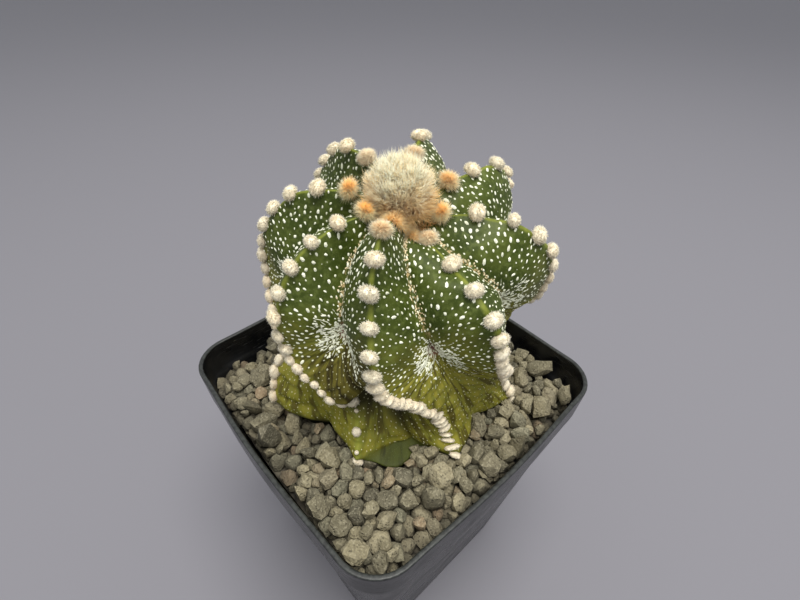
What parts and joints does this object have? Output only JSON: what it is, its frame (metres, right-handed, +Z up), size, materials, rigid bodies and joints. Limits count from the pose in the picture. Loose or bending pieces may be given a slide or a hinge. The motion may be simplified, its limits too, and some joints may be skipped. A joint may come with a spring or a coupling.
{
  "type": "potted star cactus",
  "caption": "Ribbed star cactus with woolly cushions along its crests and a woolly bud on its crown, growing in a square black nursery pot topped with loose grit.",
  "frame": {"origin": "middle of the pot's underside, on the surface it stands on", "axes": "+Z up; the pot's sides run along X and Y; the plant leans towards its front, the pot's +X -Y corner"},
  "size_m": [0.0916, 0.0929, 0.1542],
  "materials": {
    "pot_plastic": "satin",
    "soil": "matte",
    "grit": "matte",
    "stem_flesh": "satin",
    "wool": "matte",
    "stone_beige": "matte",
    "stone_cream": "matte",
    "stone_green": "matte"
  },
  "bodies": {
    "root": {"pot": "pot_plastic", "potting_mix": "soil", "grit_bed": "grit", "stem": "stem_flesh", "woolly_bud": "wool", "stone_01": "stone_beige", "stone_02": "stone_cream", "stone_03": "stone_green", "stone_04": "stone_beige", "stone_05": "stone_cream", "stone_06": "stone_green", "stone_07": "stone_beige", "stone_08": "stone_cream", "stone_09": "stone_green", "stone_10": "stone_beige", "stone_11": "stone_cream", "stone_12": "stone_green", "stone_13": "stone_beige", "stone_14": "stone_cream", "stone_15": "stone_green", "stone_16": "stone_beige", "stone_17": "stone_cream", "stone_18": "stone_green", "stone_19": "stone_beige", "stone_20": "stone_cream", "stone_21": "stone_green", "stone_22": "stone_beige", "stone_23": "stone_cream", "stone_24": "stone_green", "stone_25": "stone_beige", "stone_26": "stone_cream", "stone_27": "stone_green", "stone_28": "stone_beige", "stone_29": "stone_cream", "stone_30": "stone_green", "stone_31": "stone_beige", "stone_32": "stone_cream", "stone_33": "stone_green", "stone_34": "stone_beige", "stone_35": "stone_cream", "stone_36": "stone_green", "stone_37": "stone_beige", "stone_38": "stone_cream", "stone_39": "stone_green", "stone_40": "stone_beige", "stone_41": "stone_cream"}
  },
  "joints": []
}
